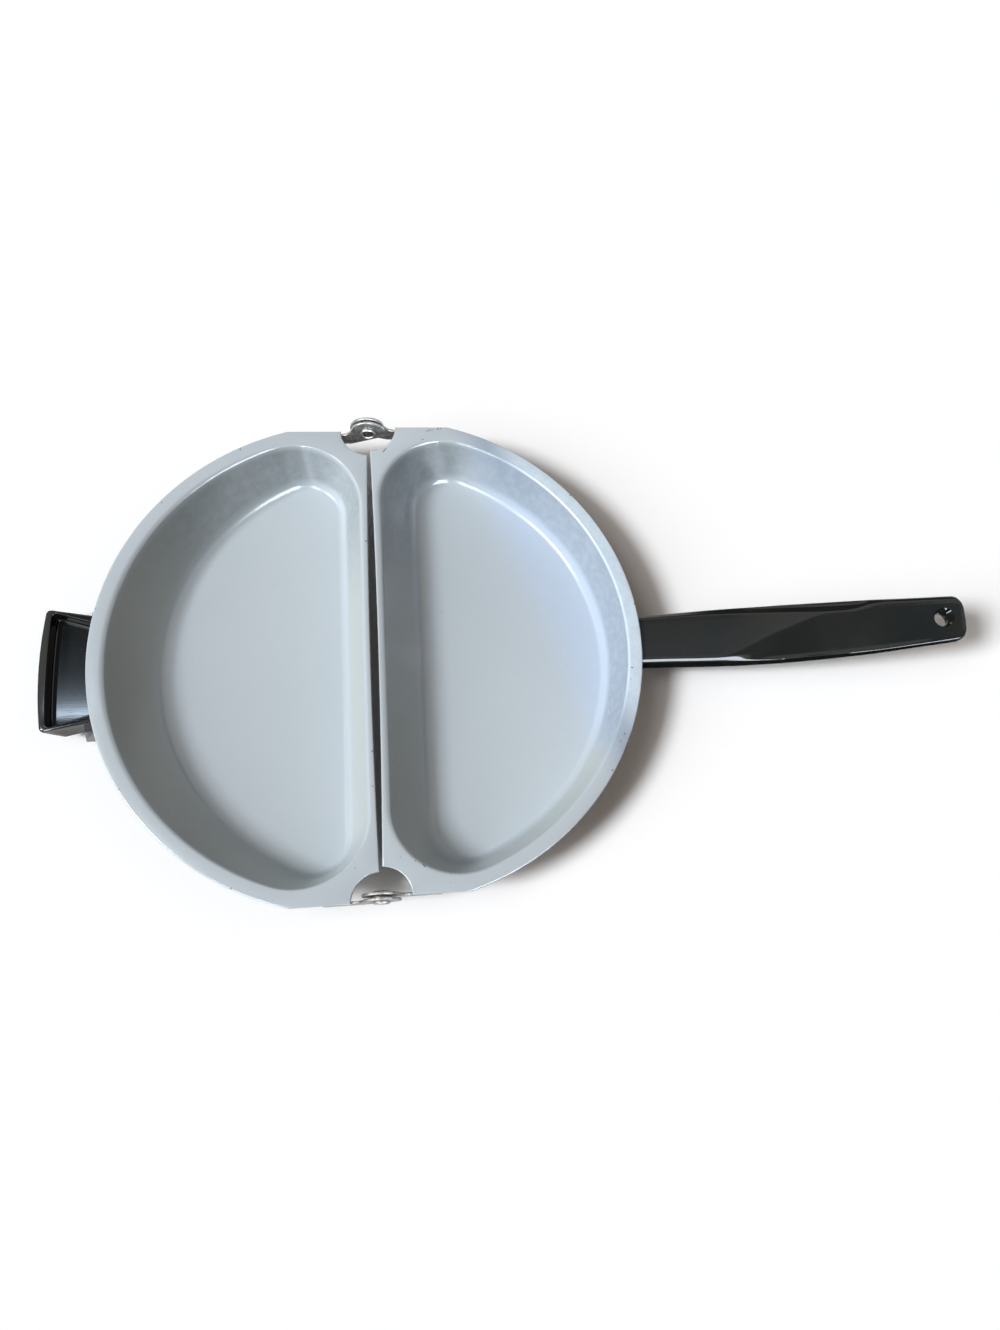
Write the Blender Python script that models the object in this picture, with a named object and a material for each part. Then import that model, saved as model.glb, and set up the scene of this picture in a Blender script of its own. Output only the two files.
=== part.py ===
"""Folding omelette pan, lying open: two half-round enamelled steel pans joined by two riveted hinges.

The base pan carries a long black handle and the lid pan a short tray-shaped helper handle.
Metres, +Z up. X runs from the helper handle to the long handle, and Y runs along the hinge line.
The origin is under the middle of the whole pan, on the surface that it stands on.
"""

import bpy
import bmesh
from math import asin, atan2, cos, pi, sin, sqrt, tan

# Driving dimensions of the two pans
RIM_RADIUS = 0.1200          # round side of each pan, to the rim's edge
ARC_OFFSET = 0.0072          # centre of the round side, out from the hinge line
FLAT_CUT = 0.0043            # how far the rim's straight ends are cut in from the round side
NOTCH_RADIUS = 0.0132        # half-round notch in the rim for the hinge
SHEET = 0.0014               # enamelled steel sheet
DEPTH = 0.0250               # inside depth, rim to floor
FLANGE_WIDTH = 0.0069        # flat rim on the round side
SEAM_FLANGE = 0.0027         # flat rim along the hinge side
SEAM_END_GAP = 0.0012        # gap between the pans beside the hinges
SEAM_BOW = 0.0012            # how far each hinge side bows away at its middle
CREASE_CORNER = 0.0318       # plan radius of the corners where rim turns into wall
FLOOR_CORNER = 0.0170        # plan radius of the floor's corners
RIM_BEND = 0.0018            # bend between rim and wall
FLOOR_BEND = 0.0070          # bend between wall and floor
BASE_ROUND_INSET = 0.0078    # how far the base's round wall leans in over its depth
BASE_SEAM_INSET = 0.0178     # how far the base's straight wall leans in
LID_ROUND_INSET = 0.0214     # how far the lid's round wall leans in, at its middle
LID_SEAM_INSET = 0.0106      # how far the lid's straight wall leans in
LID_FLOOR_SHIFT = 0.0177     # centre of the lid's floor arc, nearer the base than the rim's

# Clearances
PLAY = 0.0003                # running and fitting gap between neighbouring pieces
OVERRUN = 0.0010             # how far a cutter runs past the face that it cuts

# Hinges
AXIS_RISE = 0.0004           # hinge axis above the rim plane, so the shut rims don't grind
LEAF_SHEET = 0.0012          # bright steel hinge leaf
HEAD_RADIUS = 0.0086         # round head of a leaf
ARM_LENGTH = 0.0260          # leaf's reach along the rim, from the hinge axis
ARM_DEPTH = 0.0090           # lower edge of the arm, below the rim plane
ARM_CORNER = 0.0020          # rounding of the arm's lower outer corner
FOOT_CLEARANCE = 0.0034      # from the crease to the welded foot, at the arm's end
WASHER_SHEET = 0.0005        # washer between the two leaves
WASHER_RADIUS = 0.0050
RIVET_RADIUS = 0.0030        # barrel of the hollow rivet
RIVET_WALL = 0.0006          # leaves an open bore through the rivet
FLARE_RADIUS = 0.0038        # rolled ends of the hollow rivet
FLARE_SHEET = 0.0007

# Long handle
HANDLE_LENGTH = 0.1630       # root to tail
HANDLE_HALF_WIDTH = 0.0142
HANDLE_THICKNESS = 0.0125
HANDLE_RISE = 0.0200         # how far the tail stands above the root
HANDLE_TOP_DROP = 0.0031     # top of the root, below the rim plane
HANDLE_TOP_EDGE = 0.0030     # rounding of the upper edges
HANDLE_LOWER_EDGE = 0.0045   # rounding of the lower edges
TAIL_CORNER = 0.0055         # plan rounding of the tail's corners
HANG_HOLE_RADIUS = 0.0035
HANG_HOLE_SINK = 0.0052      # mouth of the countersink around the hang hole
HANG_HOLE_SINK_DEPTH = 0.0022
HANG_HOLE_INSET = 0.0102     # hang hole's centre, in from the tail

# Brackets, screws and washers that hold the handles
PAD_SHEET = 0.0015           # pad of the long handle's bracket
PAD_TOP = 0.0036             # upper edge of a bracket's pad, below the rim plane
PAD_DEPTH = 0.0120           # height of the long handle's pad
PAD_HALF_WIDTH = 0.0130
TONGUE_TOP = 0.0072          # tongue's upper face, below the rim plane
TONGUE_SHEET = 0.0020
TONGUE_HALF_WIDTH = 0.0070
TONGUE_LENGTH = 0.0250       # into the handle, from its root
SCREW_PLACE = 0.0150         # long handle's screw, from the root
SCREW_RADIUS = 0.0020
SCREW_HEAD_RADIUS = 0.0036
SCREW_HEAD_HEIGHT = 0.0016
SCREW_LENGTH = 0.0072
SLOT_WIDTH = 0.0009          # screwdriver slot
SLOT_DEPTH = 0.0008
LOCK_SHEET = 0.0006          # lock washer under a screw's head
LOCK_RADIUS = 0.0040
COUNTERBORE_DEPTH = 0.0032   # from the handle's underside to the washer's seat

# Helper handle
HELPER_REACH = 0.0240        # beyond the rim
HELPER_HALF_WIDTH = 0.0293   # at its outer corners
HELPER_FLARE = 0.0062        # how much narrower each side is at the pan's wall
HELPER_END_BOW = 0.0017
HELPER_CORNER = 0.0030
HELPER_TOP = 0.0105          # top, below the rim plane
HELPER_HEIGHT = 0.0100
HELPER_SIDE_WALL = 0.0020
HELPER_END_WALL = 0.0046
HELPER_RECESS = 0.0070       # depth of the finger recess
HELPER_DRAFT = 0.0012        # how far the recess's end wall leans in
HELPER_CHAMFER_REACH = 0.0062
HELPER_CHAMFER_RISE = 0.0075
HELPER_SCREW_PLACE = 0.0150  # each helper screw, from the middle
HELPER_SCREW_INSET = 0.0052  # in from the rim's edge
SHELF_SHEET = 0.0012         # helper bracket
SHELF_REACH = 0.0090         # beyond the rim
SHELF_HALF_WIDTH = 0.0317

# Counts
RIM_STEPS = 40
CORNER_STEPS = 8
SEAM_STEPS = 8
NOTCH_STEPS = 8
EDGE_STEPS = 4
BEND_STEPS = 3
ROUND_STEPS = 24
SCREW_STEPS = 16
PAD_STEPS = 8

# Shares chosen by hand
HANDLE_LINEAR_SHARE = 0.5
HANDLE_WIDTH_SHARES = (
    (0.00, 0.84), (0.10, 0.865), (0.20, 0.92), (0.30, 0.96), (0.40, 0.985), (0.50, 1.0),
    (0.60, 0.985), (0.70, 0.96), (0.78, 0.935), (0.86, 0.885), (0.93, 0.85), (1.0, 0.81),
)
HANDLE_THICKNESS_SHARES = ((0.0, 0.98), (0.35, 1.0), (0.7, 0.92), (1.0, 0.76))
TAIL_ROUND_SHARES = (0.0, 0.35, 0.65, 0.86, 0.97, 1.0)
FLARE_MOUTH_SHARE = 0.4

# Angles of the leaf's round head, where its lower edge and its shoulder meet it
HEAD_LOW_ANGLE = pi * 10 / 9
HEAD_HIGH_ANGLE = pi / 5
HEAD_EDGE_ANGLE = pi / 3     # how far a screw head's edge rounds towards its face

# Places worked out from the sizes above
RIM_HEIGHT = DEPTH + SHEET
LEAF_PITCH = LEAF_SHEET + WASHER_SHEET + 2 * PLAY
HALF_SHIFT = LEAF_PITCH / 2
FLAT_DISTANCE = RIM_RADIUS - FLAT_CUT
LEAF_PLACE = FLAT_DISTANCE - PLAY - LEAF_SHEET / 2
CREASE_RADIUS = RIM_RADIUS - FLANGE_WIDTH
CREASE_SEAM = SEAM_END_GAP / 2 + SEAM_BOW + SEAM_FLANGE
RIM_EDGE = ARC_OFFSET + RIM_RADIUS


# A wall is its inset on the round side, its inset on the hinge side and its floor's shift

def wall_lean(wall):
    """Angle of the wall to the rim plane, for the mean of its two insets."""
    return atan2(DEPTH, (wall[0] + wall[1]) / 2)


def wall_share(wall, drop):
    """Share of the way from crease to floor that the wall's outside has at a depth."""
    return (drop - SHEET * cos(wall_lean(wall))) / DEPTH


def wall_reach(wall, drop):
    """Outside of the round wall at a depth, from the round side's centre to its middle."""
    return CREASE_RADIUS - wall[0] * wall_share(wall, drop) + SHEET * sin(wall_lean(wall))


def wall_shift(wall, drop):
    """How far the round wall's own centre lies beyond the round side's, at a depth."""
    return wall[2] * wall_share(wall, drop)


def arc_reach(reach, shift, y):
    """Distance from the hinge line of an arc round the pan, at a place along that line."""
    return ARC_OFFSET - shift + sqrt((reach + shift) ** 2 - y ** 2)


BASE_WALL = (BASE_ROUND_INSET, BASE_SEAM_INSET, 0)
LID_WALL = (LID_ROUND_INSET, LID_SEAM_INSET, LID_FLOOR_SHIFT)
HANDLE_ROOT = ARC_OFFSET + wall_reach(BASE_WALL, PAD_TOP) + PAD_SHEET + 2 * PLAY
HANDLE_TAIL = HANDLE_ROOT + HANDLE_LENGTH
HELPER_INNER = wall_reach(LID_WALL, HELPER_TOP) + SHELF_SHEET + 3 * PLAY
HELPER_TIP = RIM_EDGE + HELPER_REACH
HINGE_X = (HELPER_TIP - HANDLE_TAIL) / 2


# Mesh helpers

def material(name, colour, roughness, metallic):
    """A Principled material."""
    made = bpy.data.materials.new(name)
    made.use_nodes = True
    shader = made.node_tree.nodes["Principled BSDF"]
    shader.inputs["Base Color"].default_value = (*colour, 1.0)
    shader.inputs["Roughness"].default_value = roughness
    shader.inputs["Metallic"].default_value = metallic
    return made


def rim_level(parent):
    """Height of the rim plane above a body's frame."""
    return RIM_HEIGHT - parent.location.z


def add_object(name, bm, finish, parent, mirror=False):
    """Turn a bmesh measured from the rim plane into an object, mirrored in X if asked."""
    if mirror:
        bmesh.ops.scale(bm, vec=(-1, 1, 1), verts=bm.verts)
    bmesh.ops.recalc_face_normals(bm, faces=bm.faces)
    mesh = bpy.data.meshes.new(name)
    bm.to_mesh(mesh)
    bm.free()
    made = bpy.data.objects.new(name, mesh)
    bpy.context.collection.objects.link(made)
    made.parent = parent
    made.location.z = rim_level(parent)
    if finish:
        mesh.materials.append(finish)
        mesh.shade_smooth()
        mesh.set_sharp_from_angle(angle=pi / 6)
    return made


def combine(target, tool, operation="DIFFERENCE"):
    """Cut a tool object out of a target, or unite the two, and keep the tool as a guide."""
    tool.hide_render = True
    tool.display_type = "WIRE"
    cut = target.modifiers.new(tool.name, "BOOLEAN")
    cut.operation = operation
    cut.solver = "EXACT"
    cut.object = tool


def ring(bm, points):
    return [bm.verts.new(point) for point in points]


def bridge(bm, first, second):
    """Quads between two closed rings with the same number of points."""
    count = len(first)
    for i in range(count):
        j = (i + 1) % count
        bm.faces.new((first[i], first[j], second[j], second[i]))


def loft(rings):
    """A closed solid through a list of rings, capped at both ends."""
    bm = bmesh.new()
    made = [ring(bm, points) for points in rings]
    for first, second in zip(made, made[1:]):
        bridge(bm, first, second)
    bm.faces.new(made[0])
    bm.faces.new(made[-1])
    return bm


def fill_between(bm, outer, inner):
    """Flat band of triangles between two closed rings in one plane."""
    edges = []
    for loop in (outer, inner):
        for i, vert in enumerate(loop):
            other = loop[(i + 1) % len(loop)]
            edges.append(bm.edges.get((vert, other)) or bm.edges.new((vert, other)))
    bmesh.ops.triangle_fill(bm, use_beauty=True, use_dissolve=False, edges=edges)


def circle(radius, height, steps):
    """Points of a circle about Z."""
    return [
        (radius * cos(2 * pi * i / steps), radius * sin(2 * pi * i / steps), height)
        for i in range(steps)
    ]


def turned_ring(profile, steps):
    """A turned solid with a bore, from a closed profile of radius and height."""
    bm = bmesh.new()
    made = [ring(bm, circle(radius, height, steps)) for radius, height in profile]
    for first, second in zip(made, made[1:] + made[:1]):
        bridge(bm, first, second)
    return bm


def turned_solid(profile, steps):
    """A turned solid without a bore, from a profile that starts and ends on its flat ends."""
    return loft([circle(radius, height, steps) for radius, height in profile])


def plate(outline, low, high):
    """A flat plate from an outline in X and Z, between two places along Y."""
    return loft([[(x, y, z) for x, z in outline] for y in (low, high)])


def box(low, high):
    """A box between two opposite corners."""
    outline = ((low[0], low[2]), (high[0], low[2]), (high[0], high[2]), (low[0], high[2]))
    return plate(outline, low[1], high[1])


def place(made, location, axis_along_y=False):
    """Move an object to a place measured from the middle of its body's rim plane."""
    made.location = location
    made.location.z += rim_level(made.parent)
    if axis_along_y:
        made.rotation_euler = (pi / 2, 0, 0)
    return made


def share_at(table, at):
    """Straight-line reading of a table of shares."""
    for (start, low), (end, high) in zip(table, table[1:]):
        if at <= end:
            return low + (high - low) * (at - start) / (end - start)
    return table[-1][1]


# The two pans

def corner_centre(centre, radius, seam, corner):
    """Where a corner between the round side and the hinge side is drawn from, in plan."""
    x = seam + corner
    return x, sqrt((radius - corner) ** 2 - (x - centre) ** 2)


def crease_edge(x):
    """How far along the hinge line the crease's corner reaches, at a distance out from that line."""
    corner_x, corner_y = corner_centre(ARC_OFFSET, CREASE_RADIUS, CREASE_SEAM, CREASE_CORNER)
    return corner_y + sqrt(CREASE_CORNER ** 2 - (corner_x - x) ** 2)


def pan_outline(centre, radius, seam, corner):
    """Rounded half-disc in plan: an arc, two corners and the straight hinge side."""
    corner_x, corner_y = corner_centre(centre, radius, seam, corner)
    turn = atan2(corner_y, corner_x - centre)
    points = []
    for i in range(RIM_STEPS):
        angle = turn * (2 * i / RIM_STEPS - 1)
        points.append((centre + radius * cos(angle), radius * sin(angle)))
    for i in range(CORNER_STEPS):
        angle = turn + (pi - turn) * i / CORNER_STEPS
        points.append((corner_x + corner * cos(angle), corner_y + corner * sin(angle)))
    for i in range(SEAM_STEPS):
        points.append((seam, corner_y * (1 - 2 * i / SEAM_STEPS)))
    for i in range(CORNER_STEPS):
        angle = pi + (pi - turn) * i / CORNER_STEPS
        points.append((corner_x + corner * cos(angle), -corner_y + corner * sin(angle)))
    return points


def rim_outline(inset):
    """Edge of the rim in plan, set in all round: arc, flats, hinge notches and bowed seam."""
    radius = RIM_RADIUS - inset
    flat = FLAT_DISTANCE - inset
    notch = NOTCH_RADIUS + inset
    turn = asin(flat / radius)
    flat_start = sqrt(notch ** 2 - inset ** 2)
    seam = SEAM_END_GAP / 2 + inset
    seam_end = FLAT_DISTANCE - sqrt(notch ** 2 - seam ** 2)
    notch_start = asin(-inset / notch)
    notch_end = atan2(seam_end - FLAT_DISTANCE, seam)
    points = []
    for i in range(RIM_STEPS + 1):
        angle = turn * (2 * i / RIM_STEPS - 1)
        points.append((ARC_OFFSET + radius * cos(angle), radius * sin(angle)))
    upper = []
    for i in range(NOTCH_STEPS):
        angle = notch_start + (notch_end - notch_start) * i / NOTCH_STEPS
        upper.append((notch * cos(angle), FLAT_DISTANCE + notch * sin(angle)))
    upper[0] = (flat_start, flat)
    points += upper
    for i in range(SEAM_STEPS + 1):
        along = 1 - 2 * i / SEAM_STEPS
        points.append((seam + SEAM_BOW * (1 - along ** 2), seam_end * along))
    points += [(x, -y) for x, y in reversed(upper)]
    return points


def wall_profile(wall):
    """Steps down the wall: distance in from the crease, depth, and the turn from level."""
    reach = (wall[0] + wall[1]) / 2
    lean = wall_lean(wall)
    rim_run = RIM_BEND * tan(lean / 2)
    floor_run = FLOOR_BEND * tan(lean / 2)
    steps = []
    for i in range(BEND_STEPS + 1):
        turn = lean * i / BEND_STEPS
        steps.append((RIM_BEND * sin(turn) - rim_run, RIM_BEND * (1 - cos(turn)), turn))
    for i in range(BEND_STEPS + 1):
        turn = lean * (1 - i / BEND_STEPS)
        steps.append((
            reach + floor_run - FLOOR_BEND * sin(turn),
            DEPTH - FLOOR_BEND * (1 - cos(turn)),
            turn,
        ))
    return [(run / reach, depth, turn) for run, depth, turn in steps]


def pan_skin(bm, wall, thickness):
    """Rings of one skin from the rim to the floor, offset outwards by a thickness."""
    round_inset, seam_inset, floor_shift = wall
    rings = []
    for share, depth, turn in wall_profile(wall):
        out = thickness * sin(turn)
        outline = pan_outline(
            ARC_OFFSET - share * floor_shift,
            CREASE_RADIUS + share * (floor_shift - round_inset) + out,
            CREASE_SEAM + share * seam_inset - out,
            CREASE_CORNER + share * (FLOOR_CORNER - CREASE_CORNER) + out,
        )
        height = -depth - thickness * cos(turn)
        rings.append(ring(bm, [(x, y, height) for x, y in outline]))
    for first, second in zip(rings, rings[1:]):
        bridge(bm, first, second)
    bm.faces.new(rings[-1])
    return rings[0]


def make_pan(name, wall, finish, parent, mirror):
    """One pressed half: flat rim with a rounded edge, leaning wall and flat floor."""
    bm = bmesh.new()
    edge = []
    for i in range(EDGE_STEPS + 1):
        turn = pi * i / EDGE_STEPS
        inset = SHEET / 2 * (1 - sin(turn))
        height = SHEET / 2 * (cos(turn) - 1)
        edge.append(ring(bm, [(x, y, height) for x, y in rim_outline(inset)]))
    for first, second in zip(edge, edge[1:]):
        bridge(bm, first, second)
    inside = pan_skin(bm, wall, 0)
    outside = pan_skin(bm, wall, SHEET)
    fill_between(bm, edge[0], inside)
    fill_between(bm, edge[-1], outside)
    return add_object(name, bm, finish, parent, mirror)


# Hinges

def curve_points(start, pull, end, steps):
    """Points of a quadratic curve, without its end."""
    points = []
    for i in range(steps):
        t = i / steps
        points.append(tuple(
            (1 - t) ** 2 * a + 2 * t * (1 - t) * b + t ** 2 * c for a, b, c in zip(start, pull, end)
        ))
    return points


def leaf_outline():
    """Side view of a hinge leaf: a round head on an arm that runs out under the rim."""
    arm_top = -SHEET - PLAY
    steps = ROUND_STEPS // 2
    points = []
    for i in range(steps + 1):
        angle = HEAD_LOW_ANGLE + (HEAD_HIGH_ANGLE - HEAD_LOW_ANGLE) * i / steps
        points.append((HEAD_RADIUS * cos(angle), AXIS_RISE + HEAD_RADIUS * sin(angle)))
    shoulder = (NOTCH_RADIUS - 2 * PLAY, arm_top)
    pull = (HEAD_RADIUS, arm_top)
    points += curve_points(points[-1], pull, shoulder, CORNER_STEPS // 2)[1:]
    points += [shoulder, (ARM_LENGTH, arm_top)]
    low_corner = (ARM_LENGTH, -ARM_DEPTH)
    corner_end = (ARM_LENGTH - ARM_CORNER, -ARM_DEPTH)
    points += curve_points((ARM_LENGTH, ARM_CORNER - ARM_DEPTH), low_corner, corner_end, BEND_STEPS)
    points += [corner_end, (HEAD_RADIUS, -ARM_DEPTH)]
    return points


def make_leaf(name, end, finish, parent, mirror):
    """A bright leaf at one end of the hinge line, with its welded foot and rivet hole."""
    low = end * LEAF_PLACE - LEAF_SHEET / 2
    high = end * LEAF_PLACE + LEAF_SHEET / 2
    leaf = add_object(name, plate(leaf_outline(), low, high), finish, parent, mirror)
    foot_top = -SHEET - PLAY
    foot_edge = end * (crease_edge(ARM_LENGTH) + FOOT_CLEARANCE)
    foot_back = end * LEAF_PLACE
    foot = box(
        (NOTCH_RADIUS + OVERRUN, min(foot_edge, foot_back), foot_top - LEAF_SHEET),
        (ARM_LENGTH, max(foot_edge, foot_back), foot_top),
    )
    combine(leaf, add_object(name + "_foot_guide", foot, None, parent, mirror), "UNION")
    bore = turned_solid(
        ((RIVET_RADIUS + PLAY, -LEAF_SHEET), (RIVET_RADIUS + PLAY, LEAF_SHEET)), ROUND_STEPS
    )
    cutter = add_object(name + "_bore_guide", bore, None, parent)
    combine(leaf, place(cutter, (0, end * LEAF_PLACE, AXIS_RISE), axis_along_y=True))
    return leaf


def make_hinge_rivet(name, end, finish, parent):
    """A hollow rivet with rolled ends, through both leaves and the washer."""
    inner = HALF_SHIFT + LEAF_SHEET / 2 + PLAY
    outer = inner + FLARE_SHEET
    bore = RIVET_RADIUS - RIVET_WALL
    mouth = bore + (FLARE_RADIUS - bore) * FLARE_MOUTH_SHARE
    half = (
        (mouth, outer), (FLARE_RADIUS, (inner + outer) / 2), (FLARE_RADIUS, inner), (RIVET_RADIUS, inner),
    )
    profile = [*half, *((radius, -height) for radius, height in reversed(half))]
    profile += [(bore, -inner), (bore, inner)]
    made = add_object(name, turned_ring(profile, ROUND_STEPS), finish, parent)
    return place(made, (0, end * LEAF_PLACE - HALF_SHIFT, AXIS_RISE), axis_along_y=True)


def make_washer(name, bore, radius, sheet, steps, finish, parent):
    """A flat washer, centred on its own origin."""
    profile = ((bore, -sheet / 2), (radius, -sheet / 2), (radius, sheet / 2), (bore, sheet / 2))
    return add_object(name, turned_ring(profile, steps), finish, parent)


# Long handle

def handle_top(x):
    """Height of the long handle's top, seen from the side."""
    along = (x - HANDLE_ROOT) / HANDLE_LENGTH
    bend = HANDLE_LINEAR_SHARE * along + (1 - HANDLE_LINEAR_SHARE) * along ** 2
    return HANDLE_RISE * bend - HANDLE_TOP_DROP


def handle_section(x, half_width):
    """Rounded section of the long handle at a place along it."""
    along = (x - HANDLE_ROOT) / HANDLE_LENGTH
    top = handle_top(x)
    low = top - HANDLE_THICKNESS * share_at(HANDLE_THICKNESS_SHARES, along)
    corners = (
        (half_width - HANDLE_TOP_EDGE, top - HANDLE_TOP_EDGE, HANDLE_TOP_EDGE, 0),
        (HANDLE_TOP_EDGE - half_width, top - HANDLE_TOP_EDGE, HANDLE_TOP_EDGE, 1),
        (HANDLE_LOWER_EDGE - half_width, low + HANDLE_LOWER_EDGE, HANDLE_LOWER_EDGE, 2),
        (half_width - HANDLE_LOWER_EDGE, low + HANDLE_LOWER_EDGE, HANDLE_LOWER_EDGE, 3),
    )
    points = []
    for centre_y, centre_z, radius, quarter in corners:
        for i in range(BEND_STEPS + 1):
            angle = pi / 2 * (quarter + i / BEND_STEPS)
            points.append((x, centre_y + radius * cos(angle), centre_z + radius * sin(angle)))
    return points


def handle_rings():
    """Sections from the root to the rounded corners of the tail."""
    rings = []
    corner_start = HANDLE_TAIL - TAIL_CORNER
    for along, share in HANDLE_WIDTH_SHARES[:-1]:
        x = HANDLE_ROOT + (corner_start - HANDLE_ROOT) * along
        rings.append(handle_section(x, HANDLE_HALF_WIDTH * share))
    tail_width = HANDLE_HALF_WIDTH * HANDLE_WIDTH_SHARES[-1][1]
    for share in TAIL_ROUND_SHARES:
        drawn_in = TAIL_CORNER * (1 - sqrt(1 - share ** 2))
        rings.append(handle_section(corner_start + TAIL_CORNER * share, tail_width - drawn_in))
    return rings


def vertical_cutter(name, profile, steps, location, parent):
    """A turned cutter about a vertical axis."""
    return place(add_object(name, turned_solid(profile, steps), None, parent), location)


def make_long_handle(finish, parent):
    """The black grip, with its hang hole, the slot for the bracket's tongue and its screw's seat."""
    handle = add_object("long_handle", loft(handle_rings()), finish, parent)
    hole_x = HANDLE_TAIL - HANG_HOLE_INSET
    mouth = handle_top(hole_x)
    sink_slope = (HANG_HOLE_SINK - HANG_HOLE_RADIUS) / HANG_HOLE_SINK_DEPTH
    hole = (
        (HANG_HOLE_RADIUS, -HANDLE_THICKNESS - OVERRUN),
        (HANG_HOLE_RADIUS, -HANG_HOLE_SINK_DEPTH),
        (HANG_HOLE_SINK + sink_slope * OVERRUN, OVERRUN),
    )
    combine(handle, vertical_cutter("hang_hole_guide", hole, ROUND_STEPS, (hole_x, 0, mouth), parent))
    slot = box(
        (HANDLE_ROOT - OVERRUN, -TONGUE_HALF_WIDTH - PLAY, -TONGUE_TOP - TONGUE_SHEET - PLAY),
        (HANDLE_ROOT + TONGUE_LENGTH + PLAY, TONGUE_HALF_WIDTH + PLAY, PLAY - TONGUE_TOP),
    )
    combine(handle, add_object("tongue_slot_guide", slot, None, parent))
    seat = long_screw_seat()
    bore = (
        (LOCK_RADIUS + PLAY, -HANDLE_THICKNESS),
        (LOCK_RADIUS + PLAY, 0),
        (SCREW_RADIUS + PLAY, 0),
        (SCREW_RADIUS + PLAY, SCREW_LENGTH),
    )
    location = (HANDLE_ROOT + SCREW_PLACE, 0, seat)
    combine(handle, vertical_cutter("long_handle_screw_guide", bore, ROUND_STEPS, location, parent))
    return handle


def long_screw_seat():
    """Height of the washer's seat inside the long handle."""
    x = HANDLE_ROOT + SCREW_PLACE
    share = share_at(HANDLE_THICKNESS_SHARES, SCREW_PLACE / HANDLE_LENGTH)
    return handle_top(x) - HANDLE_THICKNESS * share + COUNTERBORE_DEPTH


# Brackets

def swept_plate(profile, half_width):
    """A closed profile of reach, shift and height, swept along the round wall."""
    rings = []
    for i in range(PAD_STEPS + 1):
        y = half_width * (2 * i / PAD_STEPS - 1)
        rings.append([(arc_reach(reach, shift, y), y, height) for reach, shift, height in profile])
    return loft(rings)


def make_long_bracket(finish, parent):
    """Steel bracket: a pad welded to the base's wall and a tongue inside the handle."""
    low = PAD_TOP + PAD_DEPTH
    top_reach = wall_reach(BASE_WALL, PAD_TOP) + PLAY
    low_reach = wall_reach(BASE_WALL, low) + PLAY
    profile = (
        (top_reach, 0, -PAD_TOP), (low_reach, 0, -low),
        (low_reach + PAD_SHEET, 0, -low), (top_reach + PAD_SHEET, 0, -PAD_TOP),
    )
    pad = swept_plate(profile, PAD_HALF_WIDTH)
    bracket = add_object("long_handle_bracket", pad, finish, parent)
    tongue_root = ARC_OFFSET + wall_reach(BASE_WALL, TONGUE_TOP) + PAD_SHEET / 2
    tongue = box(
        (tongue_root, -TONGUE_HALF_WIDTH, -TONGUE_TOP - TONGUE_SHEET),
        (HANDLE_ROOT + TONGUE_LENGTH, TONGUE_HALF_WIDTH, -TONGUE_TOP),
    )
    combine(bracket, add_object("tongue_guide", tongue, None, parent), "UNION")
    bore = ((SCREW_RADIUS + PLAY, -OVERRUN), (SCREW_RADIUS + PLAY, TONGUE_SHEET + OVERRUN))
    location = (HANDLE_ROOT + SCREW_PLACE, 0, -TONGUE_TOP - TONGUE_SHEET)
    combine(bracket, vertical_cutter("tongue_bore_guide", bore, ROUND_STEPS, location, parent))
    return bracket


def make_helper_bracket(finish, parent):
    """Steel bracket: a pad welded to the lid's wall and a shelf under the helper handle."""
    shelf_top = HELPER_TOP + HELPER_HEIGHT + PLAY
    shelf_low = shelf_top + SHELF_SHEET
    top_reach = wall_reach(LID_WALL, PAD_TOP) + PLAY
    top_outer = wall_reach(LID_WALL, PAD_TOP) + SHELF_SHEET + 2 * PLAY
    bend_outer = wall_reach(LID_WALL, shelf_top) + SHELF_SHEET + 2 * PLAY
    low_reach = wall_reach(LID_WALL, shelf_low) + PLAY
    top_shift = wall_shift(LID_WALL, PAD_TOP)
    shelf_edge = RIM_RADIUS + SHELF_REACH
    profile = (
        (top_reach, top_shift, -PAD_TOP),
        (low_reach, wall_shift(LID_WALL, shelf_low), -shelf_low),
        (shelf_edge, 0, -shelf_low),
        (shelf_edge, 0, -shelf_top),
        (bend_outer, wall_shift(LID_WALL, shelf_top), -shelf_top),
        (top_outer, top_shift, -PAD_TOP),
    )
    plate_mesh = swept_plate(profile, SHELF_HALF_WIDTH)
    bracket = add_object("helper_bracket", plate_mesh, finish, parent, True)
    for end in (-1, 1):
        bore = ((SCREW_RADIUS + PLAY, -OVERRUN), (SCREW_RADIUS + PLAY, SHELF_SHEET + OVERRUN))
        location = (-helper_screw_x(), end * HELPER_SCREW_PLACE, -shelf_low)
        name = "helper_bracket_bore_guide_" + END_NAMES[end]
        combine(bracket, vertical_cutter(name, bore, ROUND_STEPS, location, parent))
    return bracket


# Helper handle

def helper_screw_x():
    return RIM_EDGE - HELPER_SCREW_INSET


def helper_outline(inner_reach, inner_shift, side_inset, end_inset):
    """Plan of the helper handle: concave against the pan, flared sides and a bowed end."""
    end = HELPER_TIP - end_inset
    width = HELPER_HALF_WIDTH - side_inset
    corner = HELPER_CORNER
    inner_width = HELPER_HALF_WIDTH - HELPER_FLARE - side_inset
    bow = HELPER_END_BOW
    points = []
    for i in range(PAD_STEPS + 1):
        y = inner_width * (2 * i / PAD_STEPS - 1)
        points.append((arc_reach(inner_reach, inner_shift, y), y))
    upper = []
    for i in range(BEND_STEPS + 1):
        angle = pi / 2 * (1 - i / BEND_STEPS)
        upper.append((end - bow - corner + corner * cos(angle), width - corner + corner * sin(angle)))
    points += upper
    for i in range(1, PAD_STEPS):
        along = 1 - 2 * i / PAD_STEPS
        points.append((end - bow * along ** 2, (width - corner) * along))
    points += [(x, -y) for x, y in reversed(upper)]
    return points


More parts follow.
